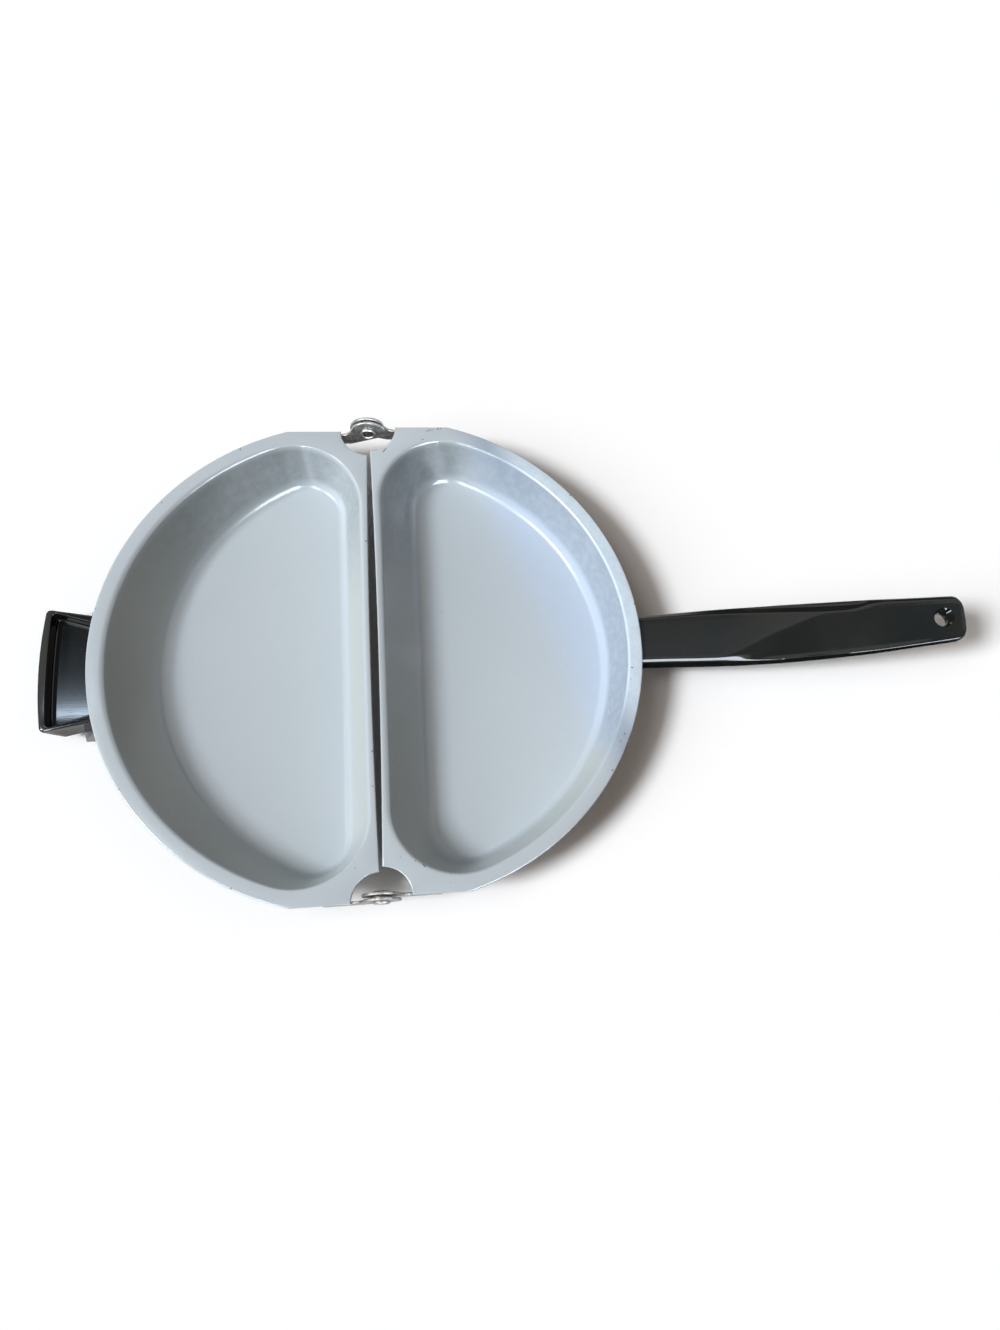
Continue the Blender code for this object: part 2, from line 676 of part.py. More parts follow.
def make_helper_handle(finish, parent):
    """The short black tray that the lid is lifted by, with its finger recess."""
    top = -HELPER_TOP
    low = -HELPER_TOP - HELPER_HEIGHT
    outline = helper_outline(HELPER_INNER, wall_shift(LID_WALL, HELPER_TOP), 0, 0)
    body = loft([[(x, y, z) for x, y in outline] for z in (low, top)])
    helper = add_object("helper_handle", body, finish, parent, True)
    mouth = helper_outline(RIM_RADIUS, 0, HELPER_SIDE_WALL, HELPER_END_WALL)
    floor = helper_outline(RIM_RADIUS, 0, HELPER_SIDE_WALL, HELPER_END_WALL + HELPER_DRAFT)
    recess = loft([
        [(x, y, top - HELPER_RECESS) for x, y in floor],
        [(x, y, top) for x, y in mouth],
        [(x, y, top + OVERRUN) for x, y in mouth],
    ])
    recess_guide = add_object("helper_recess_guide", recess, None, parent, True)
    chamfer_outline = (
        (HELPER_TIP - HELPER_CHAMFER_REACH, low),
        (HELPER_TIP, low + HELPER_CHAMFER_RISE),
        (HELPER_TIP + OVERRUN, low + HELPER_CHAMFER_RISE),
        (HELPER_TIP + OVERRUN, low - OVERRUN),
        (HELPER_TIP - HELPER_CHAMFER_REACH, low - OVERRUN),
    )
    side = HELPER_HALF_WIDTH + OVERRUN
    chamfer_guide = add_object(
        "helper_chamfer_guide", plate(chamfer_outline, -side, side), None, parent, True
    )
    for guide in (recess_guide, chamfer_guide):
        combine(helper, guide)
    for end in (-1, 1):
        bore = ((SCREW_RADIUS + PLAY, -OVERRUN), (SCREW_RADIUS + PLAY, SCREW_LENGTH - PLAY))
        location = (-helper_screw_x(), end * HELPER_SCREW_PLACE, low)
        name = "helper_bore_guide_" + END_NAMES[end]
        combine(helper, vertical_cutter(name, bore, ROUND_STEPS, location, parent))
    return helper


# Screws and lock washers

def make_screw(name, location, finish, parent):
    """A slotted screw that points up, with its origin under its head's seat."""
    profile = (
        (SCREW_HEAD_RADIUS * sin(HEAD_EDGE_ANGLE), -SCREW_HEAD_HEIGHT),
        (SCREW_HEAD_RADIUS, -SCREW_HEAD_HEIGHT / 2),
        (SCREW_HEAD_RADIUS, 0),
        (SCREW_RADIUS, 0),
        (SCREW_RADIUS, SCREW_LENGTH),
    )
    screw = place(add_object(name, turned_solid(profile, SCREW_STEPS), finish, parent), location)
    slot = box(
        (-SCREW_HEAD_RADIUS - OVERRUN, -SLOT_WIDTH / 2, -SCREW_HEAD_HEIGHT - OVERRUN),
        (SCREW_HEAD_RADIUS + OVERRUN, SLOT_WIDTH / 2, SLOT_DEPTH - SCREW_HEAD_HEIGHT),
    )
    combine(screw, place(add_object(name + "_slot_guide", slot, None, parent), location))
    return screw


def make_fastening(name, x, y, seat, finish, parent):
    """A lock washer against a seat, and the screw whose head holds it."""
    washer = make_washer(
        name + "_washer", SCREW_RADIUS + PLAY, LOCK_RADIUS, LOCK_SHEET, ROUND_STEPS, finish, parent
    )
    place(washer, (x, y, seat - PLAY - LOCK_SHEET / 2))
    make_screw(name + "_screw", (x, y, seat - LOCK_SHEET - 2 * PLAY), finish, parent)


END_NAMES = {1: "north", -1: "south"}


def body_frame(name, location):
    made = bpy.data.objects.new(name, None)
    made.location = location
    bpy.context.collection.objects.link(made)
    return made


def build():
    for old in list(bpy.data.objects):
        bpy.data.objects.remove(old, do_unlink=True)
    enamel = material("pale_enamel", (0.52, 0.58, 0.65), 0.18, 0.0)
    bright = material("bright_steel", (0.55, 0.55, 0.53), 0.30, 1.0)
    dull = material("black_steel", (0.03, 0.03, 0.03), 0.45, 0.6)
    grip = material("black_phenolic", (0.012, 0.013, 0.014), 0.22, 0.0)
    base = body_frame("base_frame", (HINGE_X, HALF_SHIFT, RIM_HEIGHT))
    lid = body_frame("lid_frame", (HINGE_X, -HALF_SHIFT, RIM_HEIGHT + AXIS_RISE))

    make_pan("base_pan", BASE_WALL, enamel, base, False)
    make_pan("lid_pan", LID_WALL, enamel, lid, True)
    for end, end_name in END_NAMES.items():
        make_leaf("base_leaf_" + end_name, end, bright, base, False)
        make_leaf("lid_leaf_" + end_name, end, bright, lid, True)
        make_hinge_rivet("hinge_rivet_" + end_name, end, bright, base)
        washer = make_washer(
            "hinge_washer_" + end_name, RIVET_RADIUS + PLAY, WASHER_RADIUS, WASHER_SHEET,
            ROUND_STEPS, bright, base,
        )
        place(washer, (0, end * LEAF_PLACE - HALF_SHIFT, AXIS_RISE), axis_along_y=True)
    make_long_handle(grip, base)
    make_long_bracket(dull, base)
    make_fastening("long_handle", HANDLE_ROOT + SCREW_PLACE, 0, long_screw_seat(), bright, base)
    make_helper_handle(grip, lid)
    make_helper_bracket(dull, lid)
    seat = -HELPER_TOP - HELPER_HEIGHT - PLAY - SHELF_SHEET
    for end, end_name in END_NAMES.items():
        make_fastening(
            "helper_" + end_name, -helper_screw_x(), end * HELPER_SCREW_PLACE, seat, bright, lid
        )


build()
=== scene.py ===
"""Looks for the folding omelette pan: enamelled shells, black handles, steel hinges, studio."""

from math import asin, atan2, cos, pi, radians, sin, sqrt, tan

import bmesh
import bpy
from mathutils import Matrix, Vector


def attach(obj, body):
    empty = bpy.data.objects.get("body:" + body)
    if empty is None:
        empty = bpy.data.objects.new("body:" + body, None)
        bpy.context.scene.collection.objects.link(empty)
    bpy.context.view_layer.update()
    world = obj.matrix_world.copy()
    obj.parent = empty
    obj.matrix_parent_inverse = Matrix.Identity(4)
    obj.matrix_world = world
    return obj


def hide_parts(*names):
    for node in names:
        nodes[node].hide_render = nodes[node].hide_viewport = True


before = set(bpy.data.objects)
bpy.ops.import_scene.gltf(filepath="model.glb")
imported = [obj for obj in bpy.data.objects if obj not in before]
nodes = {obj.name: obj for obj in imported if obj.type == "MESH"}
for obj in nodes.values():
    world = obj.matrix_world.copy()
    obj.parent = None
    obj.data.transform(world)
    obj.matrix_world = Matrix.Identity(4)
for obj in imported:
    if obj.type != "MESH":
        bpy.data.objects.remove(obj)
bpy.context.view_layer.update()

# Sizes shared with the CAD, in metres

HINGE_X = -0.067261
HALF_SHIFT = 0.00115
RIM_Z = 0.0264
AXIS_RISE = 0.0004
LEAF_PLACE = 0.1148
RIM_RADIUS = 0.1200
ARC_OFFSET = 0.0072
FLAT_DISTANCE = 0.1157
NOTCH_RADIUS = 0.0132
SHEET = 0.0014
DEPTH = 0.0250
CREASE_RADIUS = 0.1131
SEAM_END_GAP = 0.0012
SEAM_BOW = 0.0012
CREASE_SEAM = 0.0045
CREASE_CORNER = 0.0318
FLOOR_CORNER = 0.0170
RIM_BEND = 0.0026
FLOOR_BEND = 0.0070

HANDLE_ROOT = 0.122722
HANDLE_LENGTH = 0.1630
HANDLE_TAIL = HANDLE_ROOT + HANDLE_LENGTH
HANDLE_HALF_WIDTH = 0.0142
HANDLE_THICKNESS = 0.0125
HANDLE_RISE = 0.0200
HANDLE_TOP_DROP = 0.0031
TAIL_CORNER = 0.0055
HOLE_INSET = 0.0102

HELPER_INNER = 0.108037
HELPER_SHIFT = 0.006900
HELPER_TIP = 0.1512
HELPER_HALF_WIDTH = 0.0293
HELPER_FLARE = 0.0062
HELPER_BOW = 0.0017
HELPER_TOP = 0.0105
HELPER_HEIGHT = 0.0100
HELPER_SCREW_PLACE = 0.0150
HELPER_SCREW_INSET = 0.0052

# Edge of the painted cool light on the base: its slant, and its place across
COOL_LIGHT_TURN = -0.3480
COOL_LIGHT_START = 0.0171


# Node helpers

def add(tree, kind, inputs=None, **settings):
    """One shader node, with its settings and its input values or links."""
    made = tree.nodes.new(kind)
    for key, value in settings.items():
        setattr(made, key, value)
    for key, value in (inputs or {}).items():
        if isinstance(value, bpy.types.NodeSocket):
            tree.links.new(value, made.inputs[key])
        else:
            made.inputs[key].default_value = value
    return made


def calc(tree, operation, a, b):
    """One step of arithmetic on two values."""
    return add(tree, "ShaderNodeMath", {0: a, 1: b}, operation=operation).outputs[0]


def noise(tree, vector, scale, detail=3.0, roughness=0.5):
    """Soft noise between 0 and 1."""
    inputs = {"Vector": vector, "Scale": scale, "Detail": detail, "Roughness": roughness}
    return add(tree, "ShaderNodeTexNoise", inputs).outputs["Fac"]


def stretch(tree, vector, scale, rotation):
    """A place scaled and turned."""
    inputs = {"Vector": vector, "Scale": scale, "Rotation": rotation}
    return add(tree, "ShaderNodeMapping", inputs).outputs[0]


def span(tree, value, low, high, to_low=0.0, to_high=1.0, smooth=True):
    """A value mapped from one range to another, clamped."""
    inputs = {
        "Value": value, "From Min": low, "From Max": high, "To Min": to_low, "To Max": to_high,
    }
    kind = "SMOOTHSTEP" if smooth else "LINEAR"
    return add(tree, "ShaderNodeMapRange", inputs, interpolation_type=kind, clamp=True).outputs[0]


def mix(tree, factor, first, second):
    """A colour between two colours."""
    inputs = {0: factor, 6: first, 7: second}
    return add(tree, "ShaderNodeMix", inputs, data_type="RGBA").outputs[2]


def rgb(r, g, b):
    """An opaque colour."""
    return (r, g, b, 1.0)


def bump(tree, height, distance, strength, normal=None):
    """A normal tilted by a height map, on top of an earlier one."""
    inputs = {"Height": height, "Distance": distance, "Strength": strength}
    if normal is not None:
        inputs["Normal"] = normal
    return add(tree, "ShaderNodeBump", inputs).outputs[0]


def new_material(name):
    """A material with its node tree, its shader and the places in its object's own space."""
    made = bpy.data.materials.new(name)
    made.use_nodes = True
    tree = made.node_tree
    shader = tree.nodes["Principled BSDF"]
    place = add(tree, "ShaderNodeTexCoord").outputs["Object"]
    return made, tree, shader, place


def drive(tree, shader, **sockets):
    """Link or set sockets of the shader by name, with underscores for spaces."""
    for key, value in sockets.items():
        socket = shader.inputs[key.replace("_", " ")]
        if isinstance(value, bpy.types.NodeSocket):
            tree.links.new(value, socket)
        else:
            socket.default_value = value


def spots(tree, place, points):
    """Mask of small ragged spots, from points with a radius: (x, y, z, radius)."""
    wobble = noise(tree, place, 1900.0, 3.0)
    total = None
    for x, y, z, radius in points:
        away = add(tree, "ShaderNodeVectorMath", {0: place, 1: (x, y, z)}, operation="DISTANCE")
        shaken = calc(
            tree, "ADD", away.outputs["Value"],
            calc(tree, "MULTIPLY", calc(tree, "SUBTRACT", wobble, 0.5), radius * 2.2),
        )
        mask = span(tree, shaken, radius * 0.75, radius * 1.1, 1.0, 0.0)
        total = mask if total is None else calc(tree, "MAXIMUM", total, mask)
    return total


# Materials

def pale_enamel(name, chips, painted_cool_light):
    """Pale blue-grey vitreous enamel, softly mottled, with fine scratches and dark chips, painted
    shade on its walls and, where asked, a painted cool light.
    """
    made, tree, shader, place = new_material(name)
    cloud = noise(tree, place, 9.0, 4.0, 0.55)
    mottle = noise(tree, place, 240.0, 4.0, 0.6)
    colour = mix(
        tree, span(tree, cloud, 0.35, 0.65), rgb(0.455, 0.512, 0.549), rgb(0.468, 0.523, 0.558)
    )
    # Painted shade: the leaning walls are made greyer than the floors, and darker towards the north
    wall_foot = (0.0035, 0.0085)
    wall_head = (RIM_Z - 0.0035, RIM_Z - 0.0008)
    north_shade_fade = (0.020, 0.085)
    parts = add(tree, "ShaderNodeSeparateXYZ", {0: place})
    height = parts.outputs[2]
    painted_wall_shade = calc(
        tree, "MULTIPLY",
        span(tree, height, *wall_foot), span(tree, height, *wall_head, 1.0, 0.0),
    )
    colour = mix(tree, calc(tree, "MULTIPLY", painted_wall_shade, 0.8), colour, rgb(0.430, 0.465, 0.445))
    north = calc(tree, "MULTIPLY", painted_wall_shade, span(tree, parts.outputs[1], *north_shade_fade))
    colour = mix(tree, calc(tree, "MULTIPLY", north, 0.85), colour, rgb(0.285, 0.318, 0.335))
    if painted_cool_light:
        # Painted cool light: a bluer cast towards the long handle, with a soft slanting edge
        turned_place = stretch(tree, place, (1.0, 1.0, 1.0), (0.0, 0.0, COOL_LIGHT_TURN))
        across = add(tree, "ShaderNodeSeparateXYZ", {0: turned_place}).outputs[0]
        shaken = calc(tree, "ADD", across, calc(tree, "MULTIPLY", noise(tree, place, 14.0), 0.012))
        tint = span(tree, shaken, COOL_LIGHT_START, COOL_LIGHT_START + 0.022)
        colour = mix(tree, tint, colour, rgb(0.450, 0.530, 0.636))
        # Painted shade: the walls inside the painted cool light are made darker and bluer
        side = calc(tree, "MULTIPLY", span(tree, height, 0.0035, 0.0090), tint)
        colour = mix(tree, side, colour, rgb(0.300, 0.358, 0.435))
        # Painted highlight: the rim inside the painted cool light is made brighter and bluer
        cool_rim_highlight = span(tree, height, RIM_Z - 0.0012, RIM_Z - 0.0002)
        right = span(tree, across, COOL_LIGHT_START + 0.008, COOL_LIGHT_START + 0.026)
        colour = mix(tree, calc(tree, "MULTIPLY", cool_rim_highlight, right), colour, rgb(0.600, 0.715, 0.820))
    colour = mix(
        tree, span(tree, mottle, 0.35, 0.70, 0.0, 0.30), colour, rgb(0.444, 0.505, 0.548)
    )
    warped = stretch(tree, place, (900.0, 40.0, 60.0), (0.0, 0.0, 0.5))
    lines = noise(tree, warped, 1.0, 2.0, 0.4)
    patches = noise(tree, place, 34.0, 2.0)
    scratched = calc(
        tree, "MULTIPLY", span(tree, lines, 0.70, 0.74), span(tree, patches, 0.62, 0.70)
    )
    colour = mix(tree, calc(tree, "MULTIPLY", scratched, 0.30), colour, rgb(0.30, 0.34, 0.37))
    specks = add(
        tree, "ShaderNodeTexVoronoi", {"Vector": place, "Scale": 260.0, "Randomness": 1.0}
    )
    speck = calc(
        tree, "MULTIPLY",
        span(tree, specks.outputs["Distance"], 0.07, 0.11, 1.0, 0.0),
        span(tree, noise(tree, place, 60.0, 1.0), 0.66, 0.70),
    )
    colour = mix(tree, calc(tree, "MULTIPLY", speck, 0.45), colour, rgb(0.24, 0.25, 0.25))
    chip = spots(tree, place, chips)
    colour = mix(tree, calc(tree, "MULTIPLY", chip, 0.90), colour, rgb(0.13, 0.135, 0.135))
    rough = span(tree, cloud, 0.3, 0.7, 0.15, 0.22)
    rough = calc(tree, "ADD", rough, calc(tree, "MULTIPLY", chip, 0.35))
    rough = calc(tree, "ADD", rough, calc(tree, "MULTIPLY", scratched, 0.15))
    peel = noise(tree, place, 520.0, 2.0, 0.5)
    waves = noise(tree, place, 42.0, 2.0, 0.5)
    normal = bump(tree, waves, 0.00022, 0.5)
    normal = bump(tree, peel, 0.00002, 0.6, normal)
    normal = bump(tree, chip, 0.00025, -0.8, normal)
    drive(tree, shader, Base_Color=colour, Roughness=rough, Normal=normal, Metallic=0.0)
    return made


def black_enamel(name):
    """Black enamel of the undersides, with faint speckle and soft scuffs."""
    made, tree, shader, place = new_material(name)
    cloud = noise(tree, place, 30.0, 4.0)
    grain = noise(tree, place, 1400.0, 2.0)
    colour = mix(
        tree, span(tree, cloud, 0.3, 0.7), rgb(0.010, 0.010, 0.012), rgb(0.020, 0.020, 0.022)
    )
    colour = mix(tree, span(tree, grain, 0.68, 0.74, 0.0, 0.5), colour, rgb(0.10, 0.11, 0.12))
    scuffs = noise(tree, stretch(tree, place, (25.0, 420.0, 100.0), (0.0, 0.0, 0.4)), 1.0, 3.0)
    colour = mix(tree, span(tree, scuffs, 0.66, 0.75, 0.0, 0.4), colour, rgb(0.09, 0.085, 0.08))
    rough = span(tree, cloud, 0.3, 0.7, 0.24, 0.38)
    normal = bump(tree, noise(tree, place, 420.0, 2.0), 0.00003, 0.7)
    drive(tree, shader, Base_Color=colour, Roughness=rough, Normal=normal, Metallic=0.0)
    return made


def rubbed_steel(name, tone, rough_low, rough_high, grime):
    """Bare or plated steel, with rub marks, grime spots and small dents."""
    made, tree, shader, place = new_material(name)
    cloud = noise(tree, place, 260.0, 4.0, 0.6)
    rubbed = stretch(tree, place, (3800.0, 500.0, 700.0), (0.3, 0.4, 0.2))
    marks = noise(tree, rubbed, 1.0, 3.0, 0.6)
    dirt = noise(tree, place, 620.0, 5.0, 0.65)
    light = tuple(min(1.0, c * 1.25) for c in tone)
    dull = tuple(c * 0.62 for c in tone)
    worn = noise(tree, place, 950.0, 4.0, 0.6)
    colour = mix(tree, span(tree, cloud, 0.3, 0.7), rgb(*tone), rgb(*light))
    colour = mix(tree, span(tree, worn, 0.42, 0.62), colour, rgb(*dull))
    colour = mix(
        tree, span(tree, dirt, 0.56, 0.68, 0.0, grime), colour, rgb(0.10, 0.09, 0.075)
    )
    rough = span(tree, marks, 0.3, 0.7, rough_low, rough_high)
    rough = calc(tree, "ADD", rough, span(tree, dirt, 0.56, 0.68, 0.0, 0.25))
    normal = bump(tree, cloud, 0.00016, 0.8)
    normal = bump(tree, marks, 0.00003, 0.7, normal)
    normal = bump(tree, worn, 0.00006, 0.8, normal)
    drive(tree, shader, Base_Color=colour, Roughness=rough, Normal=normal, Metallic=1.0)
    return made


def phenolic(name, peel_scale, peel_depth, rough_low, rough_high, dust, gloss):
    """Glossy black moulded phenolic, faintly brown, with orange peel, hairlines and dust."""
    made, tree, shader, place = new_material(name)
    cloud = noise(tree, place, 28.0, 3.0)
    colour = mix(
        tree, span(tree, cloud, 0.3, 0.7), rgb(0.0070, 0.0085, 0.0075), rgb(0.0115, 0.0115, 0.0095)
    )
    fleck = noise(tree, place, 1500.0, 2.0, 0.6)
    colour = mix(tree, span(tree, fleck, 0.70, 0.76, 0.0, dust), colour, rgb(0.20, 0.21, 0.23))
    hair = noise(tree, stretch(tree, place, (60.0, 2200.0, 900.0), (0.0, 0.1, 0.12)), 1.0, 2.0)
    rough = span(tree, cloud, 0.3, 0.7, rough_low, rough_high)
    rough = calc(tree, "ADD", rough, span(tree, hair, 0.64, 0.72, 0.0, 0.10))
    normal = bump(tree, noise(tree, place, peel_scale, 2.0), peel_depth, 0.7)
    normal = bump(tree, hair, 0.000006, 0.6, normal)
    drive(
        tree, shader, Base_Color=colour, Roughness=rough, Normal=normal, Metallic=0.0,
        Specular_IOR_Level=gloss,
    )
    return made


# Mesh helpers

def finish_mesh(name, bm, materials, angle=35.0):
    """An object from a bmesh in world places, smooth but for its sharp edges."""
    bmesh.ops.recalc_face_normals(bm, faces=bm.faces)
    mesh = bpy.data.meshes.new(name)
    bm.to_mesh(mesh)
    bm.free()
    mesh.shade_smooth()
    mesh.set_sharp_from_angle(angle=radians(angle))
    for material in materials:
        mesh.materials.append(material)
    made = bpy.data.objects.new(name, mesh)
    bpy.context.scene.collection.objects.link(made)
    return made


def ring(bm, points):
    """Vertices at a row of points."""
    return [bm.verts.new(point) for point in points]


def bridge(bm, first, second, slot=0):
    """Faces between two closed rings of one length."""
    count = len(first)
    for i in range(count):
        j = (i + 1) % count
        bm.faces.new((first[i], first[j], second[j], second[i])).material_index = slot


def fill_between(bm, outer, inner, slot):
    """Faces across the flat band between two loops."""
    edges = []
    for loop in (outer, inner):
        for i, vert in enumerate(loop):
            other = loop[(i + 1) % len(loop)]
            edges.append(bm.edges.get((vert, other)) or bm.edges.new((vert, other)))
    made = bmesh.ops.triangle_fill(bm, use_beauty=True, use_dissolve=False, edges=edges)
    for item in made["geom"]:
        if isinstance(item, bmesh.types.BMFace):
            item.material_index = slot


def bake(made, modifier):
    """Apply a modifier to its object's mesh."""
    graph = bpy.context.evaluated_depsgraph_get()
    baked = bpy.data.meshes.new_from_object(made.evaluated_get(graph))
    made.modifiers.remove(modifier)
    old = made.data
    made.data = baked
    bpy.data.meshes.remove(old)


def cut(made, tool):
    """Cut a tool out of an object, then drop the tool."""
    modifier = made.modifiers.new("cut", "BOOLEAN")
    modifier.operation = "DIFFERENCE"
    modifier.solver = "EXACT"
    modifier.object = tool
    bake(made, modifier)
    bpy.data.objects.remove(tool, do_unlink=True)


def turned(name, profile, steps, location):
    """A turned solid about a vertical axis, from (radius, height) pairs."""
    bm = bmesh.new()
    rings = []
    for radius, height in profile:
        rings.append(ring(bm, [
            (location[0] + radius * cos(2 * pi * i / steps),
             location[1] + radius * sin(2 * pi * i / steps), location[2] + height)
            for i in range(steps)
        ]))
    for first, second in zip(rings, rings[1:]):
        bridge(bm, first, second)
    bm.faces.new(rings[0])
    bm.faces.new(rings[-1])
    return finish_mesh(name, bm, [])


def block(name, low, high):
    """A box between two corners."""
    bm = bmesh.new()
    corners = ((low[0], low[1]), (high[0], low[1]), (high[0], high[1]), (low[0], high[1]))
    bottom = ring(bm, [(x, y, low[2]) for x, y in corners])
    top = ring(bm, [(x, y, high[2]) for x, y in corners])
    bridge(bm, bottom, top)
    bm.faces.new(bottom)
    bm.faces.new(top)
    return finish_mesh(name, bm, [])


def edged(node, body, material, width):
    """A CAD node's own form with its edges eased, standing for that node."""
    bm = bmesh.new()
    bm.from_mesh(nodes[node].data)
    bmesh.ops.remove_doubles(bm, verts=bm.verts, dist=0.00001)
    bmesh.ops.dissolve_limit(
        bm, angle_limit=radians(2.0), verts=bm.verts, edges=bm.edges, use_dissolve_boundaries=False
    )
    made = finish_mesh(node + "_dressed", bm, [material])
    modifier = made.modifiers.new("ease", "BEVEL")
    modifier.width = width
    modifier.segments = 3
    modifier.limit_method = "ANGLE"
    modifier.angle_limit = radians(40.0)
    modifier.use_clamp_overlap = True
    modifier.harden_normals = False
    bake(made, modifier)
    made.data.shade_smooth()
    made.data.set_sharp_from_angle(angle=radians(30.0))
    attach(made, body)
    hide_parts(node)


# The two enamelled shells

# Points along each stretch of an outline, and along each rounding
ARC_STEPS = 150
CORNER_STEPS = 36
SEAM_STEPS = 36
NOTCH_STEPS = 30
EDGE_STEPS = 8
BEND_STEPS = 9

# How far the wall comes in at the round side and at the seam, and the floor arc's shift
BASE_INSETS = (0.0078, 0.0178, 0.0)
LID_INSETS = (0.0214, 0.0106, 0.0177)


def pan_outline(centre, radius, seam, corner):
    """Rounded half-disc in plan: an arc, two corners and the straight hinge side."""
    corner_x = seam + corner
    corner_y = sqrt((radius - corner) ** 2 - (corner_x - centre) ** 2)
    turn = atan2(corner_y, corner_x - centre)
    points = []
    for i in range(ARC_STEPS):
        angle = turn * (2 * i / ARC_STEPS - 1)
        points.append((centre + radius * cos(angle), radius * sin(angle)))
    for i in range(CORNER_STEPS):
        angle = turn + (pi - turn) * i / CORNER_STEPS
        points.append((corner_x + corner * cos(angle), corner_y + corner * sin(angle)))
    for i in range(SEAM_STEPS):
        points.append((seam, corner_y * (1 - 2 * i / SEAM_STEPS)))
    for i in range(CORNER_STEPS):
        angle = pi + (pi - turn) * i / CORNER_STEPS
        points.append((corner_x + corner * cos(angle), -corner_y + corner * sin(angle)))
    return points


def rim_outline(inset):
    """Edge of the rim in plan: arc, flats, hinge notches and bowed seam."""
    radius = RIM_RADIUS - inset
    flat = FLAT_DISTANCE - inset
    notch = NOTCH_RADIUS + inset
    turn = asin(flat / radius)
    flat_start = sqrt(notch ** 2 - inset ** 2)
    seam = SEAM_END_GAP / 2 + inset
    seam_end = FLAT_DISTANCE - sqrt(notch ** 2 - seam ** 2)
    notch_start = asin(-inset / notch)
    notch_end = atan2(seam_end - FLAT_DISTANCE, seam)
    points = []
    for i in range(ARC_STEPS + 1):
        angle = turn * (2 * i / ARC_STEPS - 1)
        points.append((ARC_OFFSET + radius * cos(angle), radius * sin(angle)))
    upper = []
    for i in range(NOTCH_STEPS):
        angle = notch_start + (notch_end - notch_start) * i / NOTCH_STEPS
        upper.append((notch * cos(angle), FLAT_DISTANCE + notch * sin(angle)))
    upper[0] = (flat_start, flat)
    points += upper
    for i in range(SEAM_STEPS + 1):
        along = 1 - 2 * i / SEAM_STEPS
        points.append((seam + SEAM_BOW * (1 - along ** 2), seam_end * along))
    points += [(x, -y) for x, y in reversed(upper)]
    return points


def wall_profile(round_inset, seam_inset):
    """Steps down the wall: share of the way in, depth, and the turn from level."""
    reach = (round_inset + seam_inset) / 2
    lean = atan2(DEPTH, reach)
    rim_run = RIM_BEND * tan(lean / 2)
    floor_run = FLOOR_BEND * tan(lean / 2)
    steps = []
    for i in range(BEND_STEPS + 1):
        turn = lean * i / BEND_STEPS
        steps.append((RIM_BEND * sin(turn) - rim_run, RIM_BEND * (1 - cos(turn)), turn))
    for i in range(BEND_STEPS + 1):
        turn = lean * (1 - i / BEND_STEPS)
        steps.append((
            reach + floor_run - FLOOR_BEND * sin(turn),
            DEPTH - FLOOR_BEND * (1 - cos(turn)),
            turn,
        ))
    return [(run / reach, depth, turn) for run, depth, turn in steps]


def make_shell(name, insets, side, body, node, finishes):
    """One pressed half: rounded rim edge, flat rim, soft crease, leaning wall, floor."""
    round_inset, seam_inset, floor_shift = insets
    bm = bmesh.new()

    def place(points, height):
        """Outline points of this half, at a height from the rim."""
        return [
            (HINGE_X + side * x, y + side * HALF_SHIFT, RIM_Z + height) for x, y in points
        ]

    edge = []
    for i in range(EDGE_STEPS + 1):
        turn = pi * i / EDGE_STEPS
        inset = SHEET / 2 * (1 - sin(turn))
        edge.append(ring(bm, place(rim_outline(inset), SHEET / 2 * (cos(turn) - 1))))
    for i, (first, second) in enumerate(zip(edge, edge[1:])):
        bridge(bm, first, second, 0 if i < EDGE_STEPS - 1 else 1)

    def skin(thickness, slot):
        """Crease, wall and floor, at a distance below the inner face."""
        rings = []
        for share, depth, turn in wall_profile(round_inset, seam_inset):
            out = thickness * sin(turn)
            outline = pan_outline(
                ARC_OFFSET - share * floor_shift,
                CREASE_RADIUS + share * (floor_shift - round_inset) + out,
                CREASE_SEAM + share * seam_inset - out,
                CREASE_CORNER + share * (FLOOR_CORNER - CREASE_CORNER) + out,
            )
            rings.append(ring(bm, place(outline, -depth - thickness * cos(turn))))
        for first, second in zip(rings, rings[1:]):
            bridge(bm, first, second, slot)
        bm.faces.new(rings[-1]).material_index = slot
        return rings[0]

    inside = skin(0.0, 0)
    outside = skin(SHEET, 1)
    fill_between(bm, edge[0], inside, 0)
    fill_between(bm, edge[-1], outside, 1)
    made = finish_mesh(name, bm, finishes, 40.0)
    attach(made, body)
    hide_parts(node)


def rim_chip(side, x, y, radius):
    """A chip on the top of a half's rim, at a distance out from the hinge line."""
    return (HINGE_X + side * x, y + side * HALF_SHIFT, RIM_Z, radius)


def polar_chip(side, degrees, inset, radius):
    """A chip on the round side, at an angle from the middle and a distance in from the edge."""
    reach = RIM_RADIUS - inset
    turn = radians(degrees)
    return rim_chip(side, ARC_OFFSET + reach * cos(turn), reach * sin(turn), radius)


